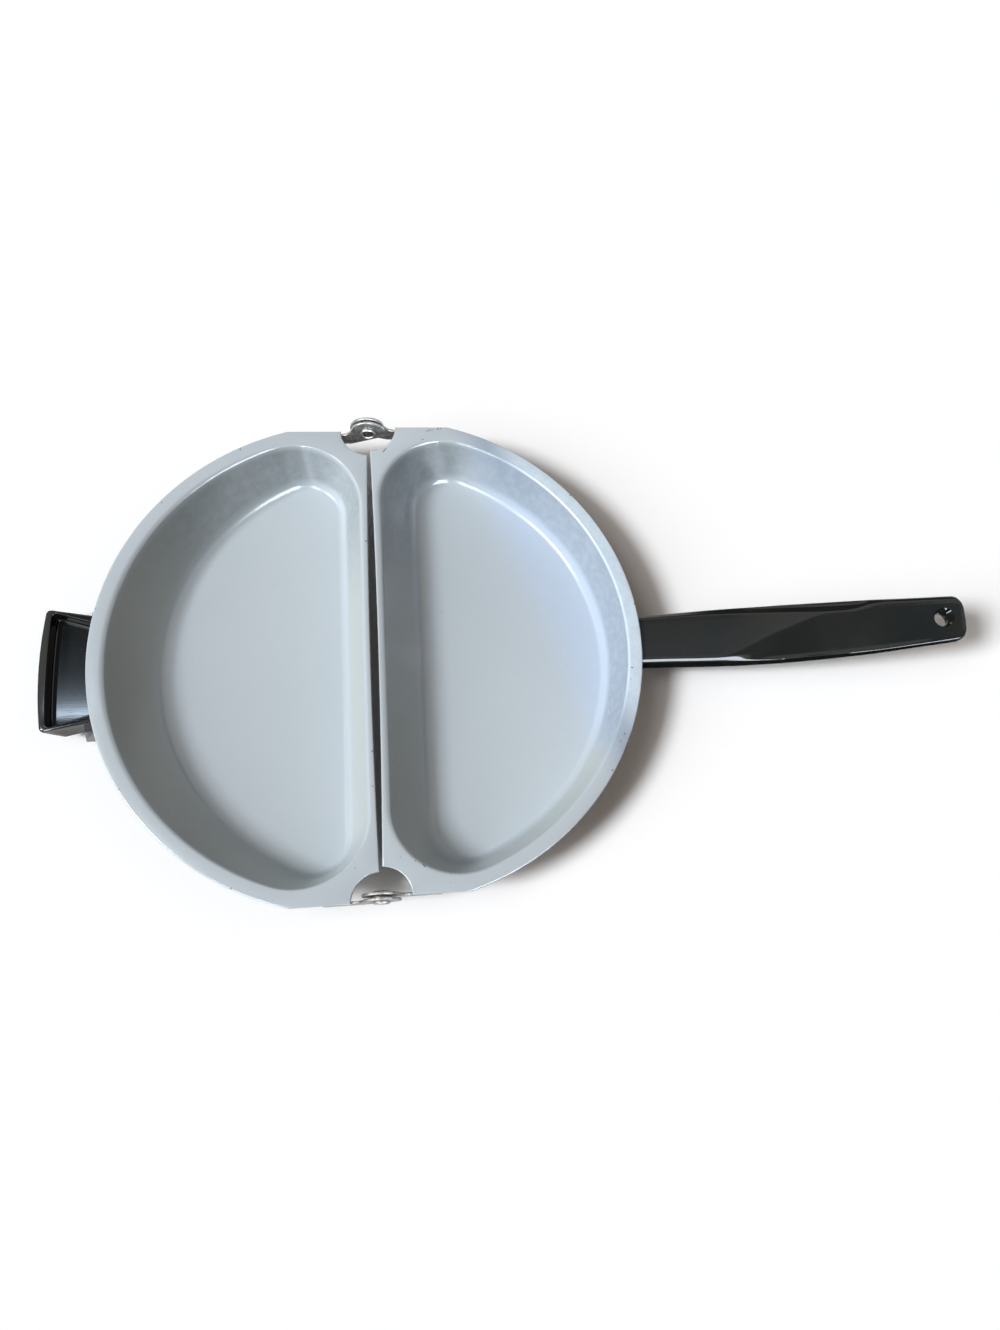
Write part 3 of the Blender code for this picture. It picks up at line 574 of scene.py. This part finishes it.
# Short scrapes as rows of small chips, and a few single ones
BASE_CHIPS = [
    rim_chip(1, 0.0077, 0.1028, 0.0005), rim_chip(1, 0.0083, 0.1035, 0.0005),
    rim_chip(1, 0.0071, 0.1020, 0.0004), rim_chip(1, 0.0290, 0.1134, 0.0004),
    rim_chip(1, 0.0302, 0.1137, 0.0005), rim_chip(1, 0.0316, 0.1140, 0.0004),
    rim_chip(1, 0.0345, 0.1146, 0.0005), rim_chip(1, 0.0358, 0.1147, 0.0004),
    rim_chip(1, 0.0268, 0.1088, 0.0004), rim_chip(1, 0.0190, -0.1035, 0.0006),
    rim_chip(1, 0.0184, -0.1027, 0.0005), rim_chip(1, 0.0150, -0.1010, 0.0003),
    rim_chip(1, 0.0085, -0.0990, 0.0003), polar_chip(1, -7.5, 0.0052, 0.0005),
    polar_chip(1, -10.5, 0.0056, 0.0003), polar_chip(1, 8.5, 0.0004, 0.0005),
    polar_chip(1, -24.0, 0.0030, 0.0005), polar_chip(1, -26.0, 0.0035, 0.0004),
    polar_chip(1, -33.0, 0.0012, 0.0005), polar_chip(1, 40.0, 0.0006, 0.0004),
]
LID_CHIPS = [
    polar_chip(-1, 63.0, 0.0012, 0.0005), polar_chip(-1, 41.0, 0.0014, 0.0004),
    polar_chip(-1, 12.0, 0.0006, 0.0003), polar_chip(-1, -30.0, 0.0006, 0.0004),
    polar_chip(-1, -62.0, 0.0006, 0.0005), rim_chip(-1, 0.0110, -0.1000, 0.0003),
    rim_chip(-1, 0.0024, 0.0560, 0.0005), rim_chip(-1, 0.0022, -0.0480, 0.0005),
    rim_chip(-1, 0.0026, -0.0640, 0.0004),
]

underside = black_enamel("enamel_black_underside")
base_enamel = pale_enamel("enamel_pale_base", BASE_CHIPS, True)
lid_enamel = pale_enamel("enamel_pale_lid", LID_CHIPS, False)
make_shell("base_pan_shell", BASE_INSETS, 1, "base", "base_pan", [base_enamel, underside])
make_shell("lid_pan_shell", LID_INSETS, -1, "lid", "lid_pan", [lid_enamel, underside])


# Long handle

def reading(table, at):
    """Value at a place, from a table of (place, value) pairs."""
    for (start, low), (end, high) in zip(table, table[1:]):
        if at <= end:
            share = max(0.0, (at - start) / (end - start))
            return low + (high - low) * share
    return table[-1][1]


# Tables along the handle, from 0 at its root to 1 where its tail corners start
WIDTHS = (
    (0.00, 0.84), (0.10, 0.865), (0.20, 0.92), (0.30, 0.96), (0.40, 0.985), (0.50, 1.0),
    (0.60, 0.985), (0.70, 0.96), (0.78, 0.935), (0.86, 0.885), (0.93, 0.85), (1.0, 0.81),
)
THICKNESSES = ((0.0, 0.98), (0.35, 1.0), (0.7, 0.92), (1.0, 0.76))
# The diagonal ridge: its place across the handle, 0 at the south edge and 1 at the north
RIDGE = (
    (0.00, -0.10), (0.22, -0.02), (0.28, 0.06), (0.33, 0.165), (0.42, 0.41), (0.57, 0.73),
    (0.725, 0.945), (0.80, 1.05), (1.0, 1.20),
)
# Fall of the face south of the ridge
SOUTH_FALL = ((0.0, 0.42), (0.28, 0.36), (0.45, 0.24), (0.60, 0.16), (0.75, 0.10), (1.0, 0.05))
# Width of the chamfer along the north edge, in parts of BEVEL_WIDTH
NORTH_BEVEL = (
    (0.0, 0.3), (0.16, 0.6), (0.36, 1.15), (0.50, 1.6), (0.58, 1.9), (0.68, 2.0), (0.76, 0.4),
    (1.0, 0.3),
)
# How much fuller the north side is than the south
NORTH_FULLER = (
    (0.0, 0.0009), (0.12, 0.0010), (0.28, 0.0007), (0.42, 0.0002), (0.55, 0.0), (1.0, 0.0),
)
BEVEL_WIDTH = 0.0024
BEVEL_SLOPE = 0.62
TOP_ROUND = 0.0030
LOWER_ROUND = 0.0045
ROUND_STEPS = 10
ACROSS_STEPS = 64
LENGTH_STEPS = 110
TAIL_STEPS = 14


def smooth_table(table, at, reach=0.03):
    """A table read with its corners rounded off."""
    return sum(reading(table, min(1.0, max(0.0, at + reach * k / 3))) for k in range(-3, 4)) / 7


def handle_top(x):
    """Height of the handle's back at a distance from the hinge line, from the rim."""
    along = (x - HANDLE_ROOT) / HANDLE_LENGTH
    return HANDLE_RISE * (0.5 * along + 0.5 * along ** 2) - HANDLE_TOP_DROP


def handle_section(x, half_width):
    """One section, walked anticlockwise from the north side: across the top, round and under."""
    along = (x - HANDLE_ROOT) / HANDLE_LENGTH
    top = handle_top(x)
    low = top - HANDLE_THICKNESS * reading(THICKNESSES, along)
    ridge = (2 * smooth_table(RIDGE, along) - 1) * half_width
    fall = smooth_table(SOUTH_FALL, along)
    bevel = BEVEL_WIDTH * smooth_table(NORTH_BEVEL, along)
    edge = TOP_ROUND
    lower = LOWER_ROUND

    def top_height(y):
        """How far the faces south and north of the back lie under it."""
        south = ridge - y
        soft = 0.0009
        drop = fall * (sqrt(south * south + soft * soft) + south) / 2 if south > -0.01 else 0.0
        north = y - (half_width - edge * 0.45 - bevel)
        if north > -0.002:
            drop += BEVEL_SLOPE * (sqrt(north * north + 1.6e-7) + north) / 2
        return -drop

    def top_corner(middle, first_turn, steps):
        """Points round an upper edge, blended into the faces of the top."""
        for i in steps:
            angle = pi / 2 * (first_turn + i / ROUND_STEPS)
            y = middle + edge * cos(angle)
            z = top - edge + edge * sin(angle)
            points.append((x, y, z + sin(angle) ** 2 * top_height(y)))

    points = []
    top_corner(half_width - edge, 0, range(ROUND_STEPS))
    for i in range(ACROSS_STEPS + 1):
        y = (half_width - edge) * (1 - 2 * i / ACROSS_STEPS)
        points.append((x, y, top + top_height(y)))
    top_corner(edge - half_width, 1, range(1, ROUND_STEPS + 1))
    for middle, first_turn in ((lower - half_width, 2), (half_width - lower, 3)):
        for i in range(ROUND_STEPS + 1):
            angle = pi / 2 * (first_turn + i / ROUND_STEPS)
            points.append((x, middle + lower * cos(angle), low + lower + lower * sin(angle)))
    return points


def make_long_handle(material):
    """The grip: tapered sections, squarish tail, hang hole, tongue slot and screw bore."""
    bm = bmesh.new()
    rings = []
    corner_start = HANDLE_TAIL - TAIL_CORNER
    for i in range(LENGTH_STEPS):
        along = i / LENGTH_STEPS
        x = HANDLE_ROOT + (corner_start - HANDLE_ROOT) * along
        half = HANDLE_HALF_WIDTH * smooth_table(WIDTHS, along, 0.04)
        # The root's end is eased
        ease = 0.0006 * max(0.0, 1 - i / 2)
        fuller = smooth_table(NORTH_FULLER, along, 0.04) / 2
        rings.append([
            (x, y + fuller, z) for x, y, z in handle_section(x, half - ease + fuller)
        ])
    tail = HANDLE_HALF_WIDTH * WIDTHS[-1][1]
    for i in range(TAIL_STEPS + 1):
        # Stops just short of the tip, so that the last section keeps some width
        share = sin(pi / 2 * i / TAIL_STEPS) * 0.9995
        drawn = TAIL_CORNER * (1 - (1 - share ** 3.0) ** (1 / 2.4))
        rings.append(handle_section(corner_start + TAIL_CORNER * share, tail - min(drawn, 0.0052)))
    made = [
        ring(bm, [(HINGE_X + x, y + HALF_SHIFT, RIM_Z + z) for x, y, z in points])
        for points in rings
    ]
    for first, second in zip(made, made[1:]):
        bridge(bm, first, second)
    bm.faces.new(made[0])
    bm.faces.new(made[-1])
    handle = finish_mesh("long_handle_grip", bm, [material], 32.0)

    hole_x = HANDLE_TAIL - HOLE_INSET
    mouth = (HINGE_X + hole_x, HALF_SHIFT, RIM_Z + handle_top(hole_x) - 0.0004)
    # Countersunk from above and below
    profile = (
        (0.0076, -0.0150), (0.0062, -0.0098), (0.0038, -0.0058), (0.0036, -0.0052),
        (0.0036, -0.0022), (0.0038, -0.0018), (0.0050, -0.0002), (0.0056, 0.0006), (0.0064, 0.0020),
    )
    cut(handle, turned("hole_tool", profile, 56, mouth))
    slot = block(
        "slot_tool",
        (HINGE_X + HANDLE_ROOT - 0.001, HALF_SHIFT - 0.0073, RIM_Z - 0.0095),
        (HINGE_X + HANDLE_ROOT + 0.0253, HALF_SHIFT + 0.0073, RIM_Z - 0.0069),
    )
    cut(handle, slot)
    seat_place = 0.0150
    seat_x = HANDLE_ROOT + seat_place
    share = reading(THICKNESSES, seat_place / HANDLE_LENGTH)
    seat = handle_top(seat_x) - HANDLE_THICKNESS * share + 0.0032
    bore = ((0.0043, -0.0125), (0.0043, 0.0), (0.0023, 0.0), (0.0023, 0.0072))
    cut(handle, turned("bore_tool", bore, 40, (HINGE_X + seat_x, HALF_SHIFT, RIM_Z + seat)))
    handle.data.shade_smooth()
    handle.data.set_sharp_from_angle(angle=radians(30.0))
    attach(handle, "base")
    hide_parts("long_handle")


grip = phenolic("phenolic_grip", 700.0, 0.000006, 0.06, 0.14, 0.20, 0.40)
make_long_handle(grip)


# Helper handle

def helper_outline(inner_reach, inner_shift, side_inset, end_inset, corner, bow=HELPER_BOW):
    """Plan of the helper handle: concave against the pan, flared sides and a bowed end."""
    end = HELPER_TIP - end_inset
    width = HELPER_HALF_WIDTH - side_inset
    inner_width = HELPER_HALF_WIDTH - HELPER_FLARE - side_inset
    steps = 24
    side_steps = 10
    corner_steps = 8
    points = []
    for i in range(steps + 1):
        y = inner_width * (2 * i / steps - 1)
        radius = inner_reach + inner_shift
        points.append((ARC_OFFSET - inner_shift + sqrt(radius ** 2 - y ** 2), y))
    side_start = points[-1]
    upper = []
    first = (end - bow - corner, width)
    for i in range(1, side_steps):
        share = i / side_steps
        upper.append((
            side_start[0] + (first[0] - side_start[0]) * share,
            side_start[1] + (first[1] - side_start[1]) * share,
        ))
    for i in range(corner_steps + 1):
        angle = pi / 2 * (1 - i / corner_steps)
        upper.append((
            end - bow - corner + corner * cos(angle), width - corner + corner * sin(angle)
        ))
    points += upper
    for i in range(1, steps):
        along = 1 - 2 * i / steps
        points.append((end - bow * along ** 2, (width - corner) * along))
    points += [(x, -y) for x, y in reversed(upper)]
    return points


def make_helper_handle(material):
    """The tray: chamfered skirt, rounded lip, drafted recess walls and a filleted floor."""
    top = -HELPER_TOP
    low = top - HELPER_HEIGHT
    lip = 0.0011
    side_wall = 0.0020
    end_wall = 0.0037
    inner_bow = 0.0007
    recess = 0.0070
    chamfer_run = 0.0062
    chamfer_rise = 0.0075
    outer_corner = 0.0022
    drafted_corner = 0.0020
    floor_corner = 0.0018
    soft = 0.0004
    hold = 0.00015
    draft = 0.0002
    inner_draft = 0.0001
    fillet = 0.0006
    rings = []

    def add_ring(inner, shift, side, end, height, corner, bow=HELPER_BOW):
        """One closed outline of the tray, at a height from the rim."""
        rings.append([
            (HINGE_X - x, y - HALF_SHIFT, RIM_Z + height)
            for x, y in helper_outline(inner, shift, side, end, corner, bow)
        ])

    for share in (0.0, 0.25, 0.5, 0.75, 1.0):
        end = chamfer_run * (1 - share)
        height = low + chamfer_rise * share
        add_ring(HELPER_INNER, HELPER_SHIFT, 0.0, end, height, outer_corner)
    for i in range(7):
        turn = pi / 2 * i / 6
        inset = lip * (1 - cos(turn))
        height = top - lip + lip * sin(turn)
        add_ring(HELPER_INNER + inset, HELPER_SHIFT, inset, inset, height, outer_corner)
    # A ring beside each rounding keeps the flat faces' shading flat
    inset = lip + hold
    add_ring(HELPER_INNER + inset, HELPER_SHIFT, inset, inset, top, outer_corner)
    mouth = RIM_RADIUS
    out = soft + hold
    add_ring(mouth - out, 0.0, side_wall - out, end_wall - out, top, outer_corner, inner_bow)
    for i in range(6):
        turn = pi / 2 * i / 5
        out = soft * (1 - sin(turn))
        add_ring(
            mouth - out, 0.0, side_wall - out, end_wall - out, top - soft + soft * cos(turn),
            outer_corner, inner_bow,
        )
    for i in range(1, 4):
        share = i / 4
        add_ring(
            mouth + inner_draft * share, 0.0, side_wall + draft * share, end_wall + draft * share,
            top - soft - (recess - soft - fillet) * share, drafted_corner, inner_bow,
        )
    for i in range(7):
        turn = pi / 2 * i / 6
        inward = fillet * (1 - cos(turn))
        add_ring(
            mouth + draft + inward, 0.0, side_wall + draft + inward, end_wall + draft + inward,
            top - recess + fillet * (1 - sin(turn)), floor_corner, inner_bow,
        )
    inward = fillet + hold
    add_ring(
        mouth + draft + inward, 0.0, side_wall + draft + inward, end_wall + draft + inward,
        top - recess, floor_corner, inner_bow,
    )
    bm = bmesh.new()
    made = [ring(bm, points) for points in rings]
    for first, second in zip(made, made[1:]):
        bridge(bm, first, second)
    bm.faces.new(made[0])
    bm.faces.new(made[-1])
    tray = finish_mesh("helper_tray", bm, [material], 38.0)
    bore = ((0.0023, -0.001), (0.0023, 0.0069))
    x = HINGE_X - (ARC_OFFSET + RIM_RADIUS - HELPER_SCREW_INSET)
    for y in (HELPER_SCREW_PLACE, -HELPER_SCREW_PLACE):
        cut(tray, turned("bore_tool", bore, 32, (x, y - HALF_SHIFT, RIM_Z + low)))
    tray.data.shade_smooth()
    tray.data.set_sharp_from_angle(angle=radians(38.0))
    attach(tray, "lid")
    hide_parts("helper_handle")


tray_material = phenolic("phenolic_tray", 1600.0, 0.0000034, 0.03, 0.055, 0.45, 0.5)
make_helper_handle(tray_material)


# Steel and brackets

bright = rubbed_steel("steel_bright", (0.54, 0.53, 0.51), 0.28, 0.50, 0.85)
# Painted shade: a dark copy of the steel for the inside of the rivets' bores
bore_shade_steel = rubbed_steel("steel_bore_shade", (0.13, 0.125, 0.115), 0.40, 0.60, 0.85)
# Painted shade: a darker copy of the hinge steel for the south hinge, which dulls its highlights
south_shaded_steel = rubbed_steel("steel_south_shade", (0.25, 0.24, 0.225), 0.42, 0.62, 0.85)
zinc = rubbed_steel("steel_zinc", (0.52, 0.52, 0.50), 0.32, 0.52, 0.45)
bracket_black = black_enamel("enamel_black_brackets")


def make_eyelet(node, y, steel):
    """Hollow rivet with rolled ends, about the hinge line, its bore darkened with painted shade."""
    bore = 0.0027
    barrel = 0.0030
    flare = 0.0038
    inner = 0.00205
    rise = 0.0007
    steps = 64
    bead = 12
    profile = []
    for i in range(bead + 1):
        turn = pi * i / bead
        reach = (bore + flare) / 2 - (flare - bore) / 2 * cos(turn)
        profile.append((reach, inner + rise * sin(turn)))
    profile.append((barrel, inner))
    profile += [(reach, -along) for reach, along in reversed(profile)]
    bm = bmesh.new()
    made = [
        ring(bm, [
            (HINGE_X + reach * cos(2 * pi * i / steps), y + along,
             RIM_Z + AXIS_RISE + reach * sin(2 * pi * i / steps))
            for i in range(steps)
        ])
        for reach, along in profile
    ]
    for first, second in zip(made, made[1:]):
        bridge(bm, first, second)
    bridge(bm, made[-1], made[0], 1)
    eyelet = finish_mesh(node + "_eyelet", bm, [steel, bore_shade_steel], 40.0)
    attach(eyelet, "base")
    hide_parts(node)


make_eyelet("hinge_rivet_north", LEAF_PLACE, bright)
make_eyelet("hinge_rivet_south", -LEAF_PLACE, south_shaded_steel)

# Width of the eased edges, by the thickness of the piece
LEAF_EASE = 0.00022
BRACKET_EASE = 0.00020
SCREW_EASE = 0.00015
WASHER_EASE = 0.00008

for end, steel in (("north", bright), ("south", south_shaded_steel)):
    edged("base_leaf_" + end, "base", steel, LEAF_EASE)
    edged("lid_leaf_" + end, "lid", steel, LEAF_EASE)
    edged("hinge_washer_" + end, "base", steel, WASHER_EASE)
    edged("helper_" + end + "_screw", "lid", zinc, SCREW_EASE)
    edged("helper_" + end + "_washer", "lid", zinc, WASHER_EASE)
edged("long_handle_bracket", "base", bracket_black, BRACKET_EASE)
edged("helper_bracket", "lid", bracket_black, BRACKET_EASE)
edged("long_handle_screw", "base", zinc, SCREW_EASE)
edged("long_handle_washer", "base", zinc, WASHER_EASE)


# Studio

def seen_directly(tree):
    """1 for camera, glossy and transmission rays, and 0 for the light that falls on surfaces."""
    path = add(tree, "ShaderNodeLightPath")
    total = calc(tree, "MAXIMUM", path.outputs["Is Camera Ray"], path.outputs["Is Glossy Ray"])
    return calc(tree, "MAXIMUM", total, path.outputs["Is Transmission Ray"])


def make_floor():
    """Pale matt floor that takes the shadow."""
    bm = bmesh.new()
    size = 3.0
    bm.faces.new(ring(bm, [(-size, -size, 0), (size, -size, 0), (size, size, 0), (-size, size, 0)]))
    made = bpy.data.materials.new("studio_floor")
    made.use_nodes = True
    tree = made.node_tree
    shader = tree.nodes["Principled BSDF"]
    glow = calc(tree, "MULTIPLY", seen_directly(tree), 0.015)
    drive(
        tree, shader, Base_Color=rgb(0.97, 0.97, 0.97), Roughness=1.0, Specular_IOR_Level=0.0,
        Emission_Color=rgb(1.0, 1.0, 1.0), Emission_Strength=glow,
    )
    floor = finish_mesh("studio_floor", bm, [made])


def make_world():
    """White where it is seen, and a faint warm fill for the surfaces."""
    world = bpy.data.worlds.new("studio_world")
    world.use_nodes = True
    bpy.context.scene.world = world
    tree = world.node_tree
    tree.nodes.clear()
    direct = seen_directly(tree)
    colour = mix(tree, direct, rgb(1.0, 0.96, 0.92), rgb(1.0, 1.0, 1.0))
    strength = span(tree, direct, 0.0, 1.0, 0.12, 1.0, smooth=False)
    back = add(tree, "ShaderNodeBackground", {"Color": colour, "Strength": strength})
    add(tree, "ShaderNodeOutputWorld", {"Surface": back.outputs[0]})


def show_in_gloss_only(made):
    """Hide a studio piece from the camera, and keep its light and shadow off the set."""
    made.visible_camera = False
    made.visible_shadow = False
    made.visible_diffuse = False


def make_curtain():
    """Dark cloth round the set, unseen by the camera, for the dark edges in the glossy black."""
    bm = bmesh.new()
    steps = 64
    radius = 1.6
    around = [2 * pi * i / steps for i in range(steps)]
    low, high = (
        ring(bm, [(radius * cos(angle), radius * sin(angle), height) for angle in around])
        for height in (0.0, 0.75)
    )
    bridge(bm, low, high)
    made = bpy.data.materials.new("studio_curtain")
    made.use_nodes = True
    tree = made.node_tree
    drive(tree, tree.nodes["Principled BSDF"], Base_Color=rgb(0.03, 0.03, 0.03), Roughness=1.0)
    curtain = finish_mesh("studio_curtain", bm, [made])
    show_in_gloss_only(curtain)


def make_card(name, corners, levels, tint=(0.80, 0.89, 1.0)):
    """Card that only shows in the gloss, with its light level given at places along Y."""
    bm = bmesh.new()
    bm.faces.new(ring(bm, corners))
    made = bpy.data.materials.new(name)
    made.use_nodes = True
    tree = made.node_tree
    tree.nodes.clear()
    place = add(tree, "ShaderNodeTexCoord").outputs["Object"]
    along = add(tree, "ShaderNodeSeparateXYZ", {0: place}).outputs[1]
    strength = None
    for (start, low), (end, high) in zip(levels, levels[1:]):
        part = span(tree, along, start, end, 0.0, high - low, smooth=False)
        strength = calc(tree, "ADD", part, low if strength is None else strength)
    glow = add(tree, "ShaderNodeEmission", {"Color": rgb(*tint), "Strength": strength})
    add(tree, "ShaderNodeOutputMaterial", {"Surface": glow.outputs[0]})
    card = finish_mesh(name, bm, [made])
    show_in_gloss_only(card)


def flat_card(x_low, x_high, y_low, y_high, z):
    """Corners of a level card."""
    return [(x_low, y_low, z), (x_high, y_low, z), (x_high, y_high, z), (x_low, y_high, z)]


def sun(name, direction, strength, angle, colour):
    """A wide soft sun that shines from a direction."""
    data = bpy.data.lights.new(name, "SUN")
    data.energy = strength
    data.angle = radians(angle)
    data.color = colour
    made = bpy.data.objects.new(name, data)
    bpy.context.scene.collection.objects.link(made)
    made.location = Vector(direction).normalized() * 2.0
    away = Vector((0, 0, 0)) - made.location
    made.rotation_euler = away.to_track_quat("-Z", "Y").to_euler()


def from_angles(turn, rise):
    """Direction at an angle round from +X and an angle up from the floor, in degrees."""
    turn = radians(turn)
    rise = radians(rise)
    return (cos(turn) * cos(rise), sin(turn) * cos(rise), sin(rise))


make_floor()
make_world()
make_curtain()
# Blue card with one sharp edge, for the glow across the tray's floor
make_card("studio_card_tray", flat_card(-0.345, -0.312, -0.05, 0.26, 0.35), (
    (-0.05, 0.05), (0.0795, 0.05), (0.0825, 26.0), (0.087, 12.0), (0.093, 5.0), (0.102, 2.3),
    (0.111, 1.3), (0.120, 0.75), (0.135, 0.45), (0.150, 0.25), (0.26, 0.15),
), (0.66, 0.82, 1.0))
# Bright cards for the line along the grip's south edge and for the tray's edges
for side, west, east in (("west", -0.46, -0.31), ("east", 0.05, 0.42)):
    make_card(
        "studio_card_south_" + side,
        [(west, -0.70, 0.20), (east, -0.70, 0.20), (east, -0.30, 0.50), (west, -0.30, 0.50)],
        ((-0.70, 18.0), (-0.30, 24.0)),
    )
# Dimmer flags that set the tones of the grip's faces and of its sides
make_card("studio_flag_top", flat_card(0.27, 0.70, -0.30, 0.24, 1.0), (
    (-0.30, 0.28), (0.24, 0.42),
))
make_card("studio_flag_root", flat_card(0.02, 0.27, 0.20, 0.60, 1.0), (
    (0.20, 1.0), (0.34, 0.85), (0.40, 0.36), (0.60, 0.20),
))
make_card("studio_flag_low", flat_card(0.055, 0.26, -0.16, -0.013, 0.0006), (
    (-0.16, 0.02), (-0.013, 0.02),
))
sun("key", from_angles(195, 45), 2.95, 15.0, (0.960, 0.985, 1.02))
sun("low", from_angles(199, 28), 0.80, 26.0, (0.98, 1.0, 1.0))
sun("high", from_angles(178, 58), 0.45, 26.0, (1.0, 1.0, 1.0))
sun("warm", from_angles(0, 50), 0.13, 60.0, (1.0, 0.50, 0.15))

camera_data = bpy.data.cameras.new("photo_camera")
camera_data.sensor_width = 36.0
camera_data.lens = 25.714
camera_data.shift_x = -60 / 1330
camera_data.shift_y = 60 / 1330
camera_data.clip_start = 0.01
camera_data.clip_end = 20.0
camera = bpy.data.objects.new("photo_camera", camera_data)
bpy.context.scene.collection.objects.link(camera)
camera.location = (-0.04317, -0.15528, 0.44993)
camera.rotation_euler = (0.2717, -0.1192, -0.0789)
bpy.context.scene.camera = camera
bpy.context.scene.view_settings.view_transform = "Standard"
